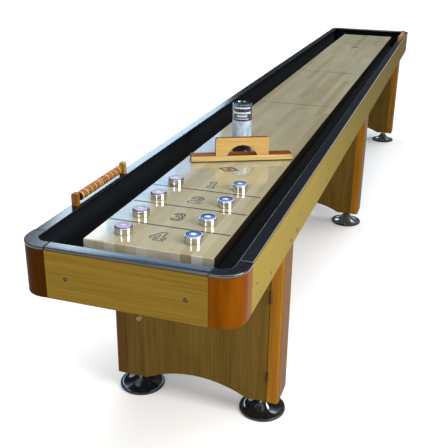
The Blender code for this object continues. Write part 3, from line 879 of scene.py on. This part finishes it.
bm = bmesh.new()
for y in (-1.546, 1.598):
    for outer, inner in ((1.0, 0.60), (0.36, 0.0)):
        ring = [(0.042 * k, 0.0325 * m) for k, m in ((1, 0), (0, 1), (-1, 0), (0, -1))]
        loops = []
        for z in (INLAY_Z, INLAY_TOP):
            loops.append([bm.verts.new((outer * a, y + outer * b, z)) for a, b in ring])
            if inner:
                loops.append([bm.verts.new((inner * a, y + inner * b, z)) for a, b in ring])
        if not inner:
            bm.faces.new(loops[0])
            bm.faces.new(loops[1])
            pairs_of_loops = ((0, 1),)
        else:
            pairs_of_loops = ((0, 2), (2, 3), (3, 1), (1, 0))
        for a, b in pairs_of_loops:
            for k in range(4):
                m = (k + 1) % 4
                bm.faces.new((loops[a][k], loops[a][m], loops[b][m], loops[b][k]))
make("diamond_marks", bm, [DIAMOND], "table")

# Carpet on the gutters' walls, coved into the floor, and on the floor round the playfield.
wall_x, wall_y, wall_r = APRON_IN - 0.0004, END_IN - 0.0004, POST_R - POST_T - 0.0004
wall_path = []
for cx, cy, start in ((1, -1, -90), (1, 1, 0), (-1, 1, 90), (-1, -1, 180)):
    for i in range(13):
        a = math.radians(start + 90 * i / 12)
        normal = (math.cos(a), math.sin(a))
        wall_path.append(
            (
                cx * (wall_x - wall_r) + wall_r * normal[0],
                cy * (wall_y - wall_r) + wall_r * normal[1],
                normal,
            )
        )
floor_z = APRON_Z0 + 0.016 + 0.0006
section = [(0.0, APRON_Z1 - 0.0004), (0.0, floor_z), (0.016, floor_z), (0.016, floor_z + 0.0016)]
section += [
    (0.016 - 0.0135 * math.sin(math.radians(9 * i)), floor_z + 0.0151 - 0.0135 * math.cos(math.radians(9 * i)))
    for i in range(1, 11)
]
section += [(0.0025, APRON_Z1 - 0.0004)]
bm = bmesh.new()
rings = [
    [bm.verts.new((x - n[0] * d, y - n[1] * d, z)) for d, z in section]
    for x, y, n in wall_path
]
for a, b in zip(rings, rings[1:] + rings[:1]):
    for k in range(len(section)):
        m = (k + 1) % len(section)
        bm.faces.new((a[k], a[m], b[m], b[k]))
make("gutter_wall_carpet", bm, [CARPET], "table", smooth=50)


bm = bmesh.new()
rings = []
for d, z in ((0.0165, floor_z), (0.0165, floor_z + 0.0016)):
    rings.append([bm.verts.new((x - n[0] * d, y - n[1] * d, z)) for x, y, n in wall_path])
for z in (floor_z + 0.0016, floor_z):
    rings.append(
        [
            bm.verts.new((math.copysign(0.184, x), math.copysign(2.275, y), z))
            for x, y, n in wall_path
        ]
    )
for a, b in zip(rings, rings[1:] + rings[:1]):
    for k in range(len(wall_path)):
        m = (k + 1) % len(wall_path)
        bm.faces.new((a[k], a[m], b[m], b[k]))
bmesh.ops.remove_doubles(bm, verts=bm.verts, dist=1e-6)
make("gutter_floor_carpet", bm, [CARPET], "table", smooth=20)


# Carpeted walls under the playfield's edge, which hide the cradle's bearers.
bm = bmesh.new()
for x0, y0, x1, y1 in (
    (-0.1905, -2.2815, 0.1905, -2.2775),
    (-0.1905, 2.2775, 0.1905, 2.2815),
    (-0.1905, -2.2773, -0.1865, 2.2773),
    (0.1865, -2.2773, 0.1905, 2.2773),
):
    rounded_box((x0, y0, floor_z + 0.0018), (x1, y1, FIELD_BOTTOM - 0.0004), 0.0008, 1, bm=bm)
make("cradle_skirt_carpet", bm, [CARPET], "table", smooth=20)


def screw_heads(places, radius, socket, bm):
    """Flat screw heads with a hexagonal socket, standing slightly proud of a face."""
    for centre, axis, sign in places:
        profile = [
            (0.0, -0.0006),
            (socket, -0.0006),
            (socket, 0.0006),
            (radius * 0.80, 0.0009),
            (radius * 0.95, 0.0005),
            (radius, -0.0004),
            (radius, -0.0030),
            (0.0, -0.0030),
        ]
        out = [(r, z) for r, z in profile]
        made = bmesh.new()
        lathe(out, (0, 0, 0), segments=24, bm=made)
        for v in made.verts:
            if abs(math.hypot(v.co.x, v.co.y) - socket) < 1e-5:
                a = math.atan2(v.co.y, v.co.x)
                wedge = (a % (math.pi / 3)) - math.pi / 6
                k = math.cos(math.pi / 6) / math.cos(wedge)
                v.co.x *= k
                v.co.y *= k
        if axis == "X":
            turn = Matrix.Rotation(math.radians(90 * sign), 4, "Y")
        else:
            turn = Matrix.Rotation(math.radians(-90 * sign), 4, "X")
        made.transform(Matrix.Translation(centre) @ turn)
        mesh = bpy.data.meshes.new("screw")
        made.to_mesh(mesh)
        made.free()
        bm.from_mesh(mesh)
        bpy.data.meshes.remove(mesh)
    return bm


bm = bmesh.new()
ends = [((sx * 0.172, sy * END_OUT, 0.740), "Y", sy) for sx in (-1, 1) for sy in (-1, 1)]
screw_heads(ends, 0.0062, 0.0030, bm)
pairs = [
    ((sx * APRON_OUT, y + dy, 0.6975), "X", sx)
    for sx in (-1, 1)
    for y in (-1.8395, 0.0705, 1.9605)
    for dy in (-0.0445, 0.0445)
]
screw_heads(pairs, 0.0076, 0.0030, bm)
small = [
    ((sx * APRON_OUT, y, z), "X", sx)
    for sx in (-1, 1)
    for y, z in (
        (-2.290, 0.742),
        (-2.137, 0.7015),
        (-1.757, 0.741),
        (-1.264, 0.701),
        (-1.245, 0.742),
        (-0.176, 0.733),
        (0.420, 0.741),
        (1.245, 0.742),
        (2.137, 0.7015),
        (2.290, 0.742),
    )
]
screw_heads(small, 0.0042, 0.0016, bm)
make("cabinet_screws", bm, [SCREW], "table", smooth=40)


# ---------------------------------------------------------------- pedestals
def panel_outline(low, high, half_w=0.190, rise=0.048, fillet=0.014):
    """An upright panel's outline, arched below, with eased springings."""
    x0, x1, z0, z1 = low.x, high.x, low.z, high.z
    radius = (half_w**2 + rise**2) / (2 * rise)
    centre = z0 + rise - radius
    # The fillet's circle touches the lower edge from above and the arch from outside.
    fz = z0 + fillet
    reach = math.sqrt((radius + fillet) ** 2 - (fz - centre) ** 2)
    touch = math.degrees(math.atan2(fz - centre, reach))
    points = [(x0, z0)]
    points += arc(-reach, fz, fillet, -90, -touch, 5)
    points += arc(0, centre, radius, 180 - touch, touch, 40)[1:-1]
    points += arc(reach, fz, fillet, 180 + touch, 270, 5)
    points += [(x1, z0), (x1, z1), (x0, z1)]
    return points


upright = Matrix.Rotation(math.radians(90), 4, "X")
for node in (
    "storage_door",
    "near_pedestal_back_panel",
    "middle_pedestal_front_panel",
    "middle_pedestal_back_panel",
    "far_pedestal_front_panel",
    "far_pedestal_back_panel",
):
    low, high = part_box(node)
    middle = (low.y + high.y) / 2
    half = (high.y - low.y) / 2
    seed += 1.37
    make(
        node + "_veneer",
        prism(
            panel_outline(low, high),
            -half,
            half,
            0.0012,
            2,
            Matrix.Translation((0, middle, 0)) @ upright,
        ),
        [PANEL],
        "storage_door" if node == "storage_door" else "table",
        node,
        grain=along("Z", seed),
    )

for name in ("near", "middle", "far"):
    for side in ("left", "right"):
        node = f"{name}_pedestal_post_{side}"
        low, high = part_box(node)
        sign = 1 if side == "right" else -1
        inner = low.x if side == "right" else high.x
        outer_x = high.x if side == "right" else low.x
        r = 0.010
        plan = [(abs(inner), low.y)]
        plan += arc(abs(outer_x) - r, low.y + r, r, -90, 0, 8)
        plan += arc(abs(outer_x) - r, high.y - r, r, 0, 90, 8)
        plan += [(abs(inner), high.y)]
        seed += 1.37
        make(
            node + "_wood",
            prism([(sign * x, y) for x, y in plan], low.z, high.z, 0.0012, 2),
            [LEG_SHADED if node == "near_pedestal_post_left" else LEG],
            "table",
            node,
            grain=along("Z", seed),
        )

# ---------------------------------------------------------------- door hardware
for where in ("lower", "upper"):
    node = f"door_hinge_{where}"
    low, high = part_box(node)
    r = 0.0032
    cx, cy = low.x + r, low.y + r
    bm = bmesh.new()
    z0, z1 = low.z + 0.002, high.z - 0.002
    step = (z1 - z0) / 5
    profile = [(0.0, high.z), (0.0016, high.z), (0.0022, high.z - 0.0008), (0.0022, z1)]
    for k in range(5):
        top = z1 - k * step
        profile += [(r * 0.8, top), (r, top - 0.0004), (r, top - step + 0.0005), (r * 0.8, top - step + 0.0001)]
    profile += [(0.0022, z0), (0.0022, low.z + 0.0008), (0.0016, low.z), (0.0, low.z)]
    lathe(profile, (cx, cy, 0), segments=20, bm=bm)
    rounded_box(
        (cx - 0.0006, cy + 0.001, z0), (cx + 0.0002, high.y, z1), 0.00025, 1, bm=bm
    )
    make(node + "_knuckles", bm, [HINGE], "table", node, smooth=40)

low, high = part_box("door_knob")
kx, kz = (low.x + high.x) / 2, (low.z + high.z) / 2
bm = lathe(
    [
        (0.0, 0.0190),
        (0.0040, 0.0189),
        (0.0074, 0.0182),
        (0.0098, 0.0165),
        (0.0110, 0.0140),
        (0.0110, 0.0118),
        (0.0100, 0.0096),
        (0.0080, 0.0076),
        (0.0064, 0.0060),
        (0.0058, 0.0045),
        (0.0060, 0.0028),
        (0.0072, 0.0016),
        (0.0085, 0.0012),
        (0.0087, 0.0006),
        (0.0085, 0.0002),
        (0.0, 0.0002),
    ],
    (kx, high.y, kz),
    "-Y",
    40,
)
make("door_knob_turned", bm, [KNOB], "storage_door", "door_knob", grain=along("Y", 3.3))

# ---------------------------------------------------------------- levelling feet
for name in ("near", "middle", "far"):
    for side in ("left", "right"):
        node = f"foot_{name}_{side}"
        low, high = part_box(node)
        cx, cy = (low.x + high.x) / 2, (low.y + high.y) / 2
        profile = [
            (0.0, 0.1510), (0.0050, 0.1510), (0.0060, 0.1500),
        ]
        slots = [0, 0]
        z = 0.1485
        while z > 0.0650:
            profile += [(0.0060, z), (0.0054, z - 0.0010)]
            slots += [0, 0]
            z -= 0.0020
        # a lock nut's round collar, then the neck
        profile += [(0.0058, 0.0645), (0.0105, 0.0640), (0.0112, 0.0632), (0.0112, 0.0580),
                    (0.0105, 0.0572), (0.0120, 0.0565), (0.0165, 0.0556), (0.0182, 0.0546),
                    (0.0192, 0.0530), (0.0205, 0.0505)]
        slots += [0] * 10
        # the dish, concave from neck to rim
        for i in range(1, 17):
            t = i / 16
            r = 0.0205 + (0.0785 - 0.0205) * t
            profile.append((r, 0.0096 + (0.0505 - 0.0096) * (1 - t) ** 2.1))
            slots.append(1)
        profile += [
            (0.0792, 0.0099), (0.0800, 0.0106), (0.0815, 0.0108), (0.0829, 0.0102), (0.0838, 0.0089), (0.0840, 0.0070),
            (0.0840, 0.0016), (0.0836, 0.0005), (0.0828, 0.0), (0.0706, 0.0), (0.0698, 0.0006),
        ]
        slots += [2] * 11
        profile += [(0.0560, 0.0090), (0.0420, 0.0150), (0.0200, 0.0175), (0.0, 0.0180)]
        slots += [2, 2, 2, 2]
        bm = lathe(profile, (cx, cy, 0), segments=64, slots=slots)
        make(node + "_dish", bm, [STEM, FOOT if name == "near" else FOOT_PAINTED_LIGHT, FOOT_RIM],
             node, node, smooth=40)

# ---------------------------------------------------------------- bead scorers
for where in ("near", "far"):
    for which in ("outer", "inner"):
        node = f"{where}_scorer_block_{which}"
        low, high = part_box(node)
        r = 0.006
        cx = (low.x + high.x) / 2
        half = (high.x - low.x) / 2
        outline = [(-half, low.z), (half, low.z)]
        outline += arc(half - r, high.z - r, r, 0, 90, 8)
        outline += arc(-half + r, high.z - r, r, 90, 180, 8)
        depth = (high.y - low.y) / 2
        seed += 1.37
        make(
            node + "_wood",
            prism(
                outline,
                -depth,
                depth,
                0.0012,
                3,
                Matrix.Translation((cx, (low.y + high.y) / 2, 0)) @ upright,
            ),
            [BLOCK if which == "outer" else BLOCK_PALE],
            "table",
            node,
            grain=along("Z", seed),
        )
    node = f"{where}_scorer_beads"
    low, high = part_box(node)
    cx, cz = (low.x + high.x) / 2, (low.z + high.z) / 2
    count, pitch = 20, (high.y - low.y) / 20
    bm = bmesh.new()
    rng = random.Random(11 if where == "near" else 12)
    radius, hole_r, half = 0.0145, 0.0046, pitch / 2 - 0.0003
    for i in range(count):
        y = low.y + (i + 0.5) * pitch
        profile = []
        for k in range(11):
            a = math.pi * (k / 10)
            bulge = math.sin(a) ** 0.62
            profile.append((0.0098 + (radius - 0.0098) * bulge, half * math.cos(a)))
        profile = [(hole_r, half)] + profile + [(hole_r, -half), (hole_r, half)]
        tone = i % 2 if i not in (9, 10) else 1 - i % 2
        # The beads' flat faces and flanks, where each meets the next, and their holes are painted dark brown: a
        # painted shade for the creases between beads.
        slots = [2, 2, 2] + [tone] * 6 + [2, 2, 2] + [2] * (len(profile) - 13)
        lathe(profile, (cx, y, cz), "-Y", 28, bm, slots, turn=rng.uniform(0, 1))
    make(node + "_turned", bm, [BEAD_LIGHT, BEAD_DARK, BEAD_CREASE_SHADE], node, node,
         smooth=50, grain=along("X", 2.1 if where == "near" else 4.2))

# ---------------------------------------------------------------- pucks
# Each stretch runs from the last point to (radius, depth below the top) in its own material:
# 0 chrome, 1 cap, 2 ring, 3 eye, 4 rim.
PUCK_TOP = [
    (0.0048, 0.0010, 3), (0.0052, 0.0012, 2), (0.0060, 0.0012, 2), (0.0064, 0.0010, 3),
    (0.0082, 0.0010, 3), (0.0086, 0.0006, 1), (0.0104, 0.0006, 1), (0.0108, 0.0009, 2),
    (0.0120, 0.0009, 2), (0.0124, 0.0005, 1), (0.0160, 0.0004, 1), (0.0163, 0.0007, 2),
    (0.0170, 0.0007, 2), (0.0173, 0.0004, 1), (0.0222, 0.0002, 1), (0.0236, 0.0003, 4),
    (0.0248, 0.0009, 4), (0.0255, 0.0020, 4), (0.0256, 0.0032, 4), (0.0253, 0.0038, 0),
    (0.0262, 0.0040, 0), (0.0268, 0.0045, 0), (0.0270, 0.0052, 0), (0.0270, 0.0094, 0),
    (0.0265, 0.0097, 0), (0.0265, 0.0103, 0), (0.0270, 0.0106, 0), (0.0270, 0.0222, 0),
    (0.0268, 0.0230, 0), (0.0263, 0.0235, 0), (0.0, 0.0235, 0),
]
for tone, cap, rim, ring, eye in (
    ("pale", PALE, PALE_RIM, PALE_RIM, PALE_EYE),
    ("blue", BLUE, BLUE_RING, BLUE_RING, BLUE_EYE),
):
    for i in range(1, 5):
        node = f"puck_{tone}_{i}"
        low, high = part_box(node)
        cx, cy = (low.x + high.x) / 2, (low.y + high.y) / 2
        h = high.z - low.z
        profile = [(0.0, h - 0.0010)] + [(r, max(h - d, 0.0)) for r, d, _ in PUCK_TOP]
        bm = lathe(profile, (cx, cy, low.z), segments=64, slots=[m for _, _, m in PUCK_TOP])
        make(node + "_turned", bm, [CHROME, cap, ring, eye, rim], node, node,
             smooth=40)

# ---------------------------------------------------------------- sweep brush
BRUSH = Matrix.Translation((0.0080, -1.4135, PLAY_Z)) @ Matrix.Rotation(math.radians(26.0), 4, "Z")
BL, BD, BT = 0.3900, 0.0560, 0.0230
HW, HH, HT = 0.2040, 0.0690, 0.0180
PLATE_Y = -BD / 2 + 0.004 + HT / 2


def brush_grain(axis, shift):
    back = np.array(BRUSH.inverted(), np.float32)
    order = {"X": (0, 1, 2), "Z": (2, 0, 1)}[axis]

    def grain(points):
        local = points @ back[:3, :3].T + back[:3, 3]
        return local[:, order] + np.float32(shift)

    return grain


def paint_edges(bm, dark_slot):
    """The narrow faces get the dark brown wood; the broad front and back ones stay honey."""
    bm.normal_update()
    back = BRUSH.inverted().to_3x3()
    for face in bm.faces:
        if abs((back @ face.normal).y) < 0.55:
            face.material_index = dark_slot
    return bm


bm = rounded_box((-BL / 2, -BD / 2, 0.0032), (BL / 2, BD / 2, BT), 0.0018, 3, matrix=BRUSH)
make("brush_base", paint_edges(bm, 1), [BRUSH_FACE, BRUSH_DARK], "sweep_brush", "sweep_brush",
     grain=brush_grain("X", 1.9))
half, r = HW / 2, 0.009
arch_half, arch_h = 0.0580, 0.0400
arch_r = (arch_half**2 + arch_h**2) / (2 * arch_h)
arch_c = BT + arch_h - arch_r
sweep = math.degrees(math.asin(arch_half / arch_r))
plate = [(-half, BT - 0.0005), (-arch_half, BT - 0.0005)]
plate += arc(0, arch_c, arch_r, 90 + sweep, 90 - sweep, 36)
plate += [(arch_half, BT - 0.0005), (half, BT - 0.0005)]
plate += arc(half - r, BT + HH - r, r, 0, 90, 10)
plate += arc(-half + r, BT + HH - r, r, 90, 180, 10)
bm = prism(plate, -HT / 2, HT / 2, 0.0022, 3, BRUSH @ Matrix.Translation((0, PLATE_Y, 0)) @ upright)
make("brush_handle", paint_edges(bm, 1), [BRUSH_HANDLE, BRUSH_DARK], "sweep_brush",
     grain=brush_grain("X", 5.3))
bm = rounded_box((-BL / 2 + 0.002, -BD / 2 + 0.002, 0.0002), (BL / 2 - 0.002, BD / 2 - 0.002, 0.0034),
                 0.0008, 1, matrix=BRUSH)
make("brush_felt_strip", bm, [FELT], "sweep_brush")

# ---------------------------------------------------------------- powder can
low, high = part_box("powder_can")
can_c = ((low.x + high.x) / 2, (low.y + high.y) / 2)
LABEL = can_label(math.radians(-75.0), can_c, low.z)
H = high.z - low.z
profile = [
    (0.0, H - 0.0036), (0.0120, H - 0.0034), (0.0290, H - 0.0036), (0.0335, H - 0.0040),
    (0.0350, H - 0.0034), (0.0356, H - 0.0008), (0.0362, H - 0.0001), (0.0374, H - 0.0001),
    (0.0383, H - 0.0008), (0.0385, H - 0.0024), (0.0384, H - 0.0054), (0.0380, H - 0.0066),
    (0.0376, H - 0.0074),
]
slots = [0] * 12
profile += [(0.0376, z) for z in np.linspace(H - 0.0090, 0.0075, 14)]
slots += [1] * 14
profile += [(0.0378, 0.0062), (0.0384, 0.0052), (0.0385, 0.0012), (0.0380, 0.0002), (0.0366, 0.0),
            (0.0358, 0.0018), (0.0, 0.0020)]
slots += [0] * 7
bm = lathe(profile, (*can_c, low.z), segments=72, slots=slots)
make("powder_can_printed", bm, [TIN, LABEL], "powder_can", "powder_can", smooth=35)

# ---------------------------------------------------------------- floor, light and camera
floor_shader = Shader("pale_floor", roughness=0.9)
soft = floor_shader.noise(floor_shader.scaled(floor_shader.place(), (0.4, 0.4, 0.4)), 1.0, 2.0, 0.5)
floor_shader.put(
    "Base Color",
    floor_shader.ramp(soft, [(0.3, (0.88, 0.88, 0.88)), (0.7, (0.91, 0.91, 0.91))]),
)
floor_shader.put("Emission Color", (1.0, 1.0, 1.0))
floor_shader.put("Emission Strength", 0.13)
floor_shader.put("Specular IOR Level", 0.0)
bm = bmesh.new()
bmesh.ops.create_grid(bm, x_segments=1, y_segments=1, size=400.0)
mesh = bpy.data.meshes.new("floor")
bm.to_mesh(mesh)
bm.free()
mesh.materials.append(floor_shader.material)
floor = bpy.data.objects.new("floor", mesh)
floor.location.z = -0.0005
scene.collection.objects.link(floor)
floor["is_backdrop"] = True

# A plain studio dome: a pale low wall round the floor, dim above it and bright overhead.
world = bpy.data.worlds.new("studio")
scene.world = world
world.use_nodes = True
tree = world.node_tree
coords = tree.nodes.new("ShaderNodeTexCoord")
split = tree.nodes.new("ShaderNodeSeparateXYZ")
dome = tree.nodes.new("ShaderNodeValToRGB")
tree.links.new(coords.outputs["Generated"], split.inputs[0])
tree.links.new(split.outputs["Z"], dome.inputs[0])
tree.links.new(dome.outputs[0], tree.nodes["Background"].inputs["Color"])
stops = [
    (0.00, (0.95, 0.95, 0.95)),
    (0.04, (0.95, 0.95, 0.95)),
    (0.06, (0.03, 0.04, 0.05)),
    (0.52, (0.06, 0.07, 0.09)),
    (0.74, (0.85, 0.88, 0.92)),
    (0.88, (1.00, 1.00, 1.00)),
]
elements = dome.color_ramp.elements
while len(elements) < len(stops):
    elements.new(0.5)
for element, (at, colour) in zip(elements, stops):
    element.position = at
    element.color = (*colour, 1.0)
tree.nodes["Background"].inputs["Strength"].default_value = 1.0

sun_data = bpy.data.lights.new("overhead", "SUN")
sun_data.energy = 1.75
sun_data.angle = math.radians(50)
sun = bpy.data.objects.new("overhead", sun_data)
sun.rotation_euler = (math.radians(-14), math.radians(10), 0)
scene.collection.objects.link(sun)


def panel_light(name, place, target, size, radiance, colour=(1, 1, 1)):
    """A flat light panel of an even brightness."""
    data = bpy.data.lights.new(name, "AREA")
    data.shape = "RECTANGLE"
    data.size, data.size_y = size
    data.energy = radiance * math.pi * size[0] * size[1]
    data.color = colour
    obj = bpy.data.objects.new(name, data)
    obj.location = place
    obj.rotation_euler = (Vector(target) - Vector(place)).to_track_quat("-Z", "Y").to_euler()
    scene.collection.objects.link(obj)
    return obj


panel_light("right_window", (2.0, -2.45, 1.65), (0.0, -2.5, 0.9), (1.2, 0.8), 18.0, (1.0, 0.98, 0.93))
panel_light("rear_window", (-0.55, -5.9, 2.35), (0.0, -2.2, 0.8), (1.2, 1.2), 9.0)
panel_light("front_panel", (1.8, -8.0, 3.0), (0.0, -2.4, 0.8), (5.0, 3.0), 0.4)
# The left window is a wall of panes: a bright low row, and an upper one that dims and turns
# bluer along the table.
for k, (y0, y1, z0, z1, radiance, colour) in enumerate((
    (0.50, 4.75, 1.85, 2.30, 6.5, (0.66, 0.86, 1.0)),
    (-0.10, 1.35, 2.30, 2.52, 5.0, (0.76, 0.86, 1.0)),
    (-0.10, 1.35, 2.52, 2.64, 2.0, (0.60, 0.80, 1.0)),
    (1.35, 3.00, 2.32, 2.58, 3.3, (0.22, 0.54, 1.0)),
    (3.00, 4.60, 2.32, 2.60, 2.0, (0.20, 0.52, 1.0)),
)):
    y, z = (y0 + y1) / 2, (z0 + z1) / 2
    panel_light(f"left_window_{k}", (-2.05, y, z), (0.0, y, z), (y1 - y0, z1 - z0), radiance,
                colour)

camera_data = bpy.data.cameras.new("camera")
camera_data.lens = 57.10
camera_data.sensor_width = 36.0
camera_data.clip_end = 200.0
camera = bpy.data.objects.new("camera", camera_data)
scene.collection.objects.link(camera)


def turn_of(yaw, pitch, roll):
    cz, sz = math.cos(yaw), math.sin(yaw)
    cx, sx = math.cos(pitch), math.sin(pitch)
    cy, sy = math.cos(roll), math.sin(roll)
    rz = Matrix(((cz, -sz, 0), (sz, cz, 0), (0, 0, 1)))
    rx = Matrix(((1, 0, 0), (0, cx, -sx), (0, sx, cx)))
    ry = Matrix(((cy, 0, sy), (0, 1, 0), (-sy, 0, cy)))
    return rz @ rx @ ry


camera.matrix_world = (
    Matrix.Translation((0.7485, -3.9238, 1.6151))
    @ turn_of(math.radians(17.7937), math.radians(-22.6375), math.radians(-0.8864)).to_4x4()
    @ Matrix.Rotation(math.radians(90), 4, "X")
)
scene.camera = camera
scene.view_settings.view_transform = "Standard"
scene.view_settings.look = "None"

low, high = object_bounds()
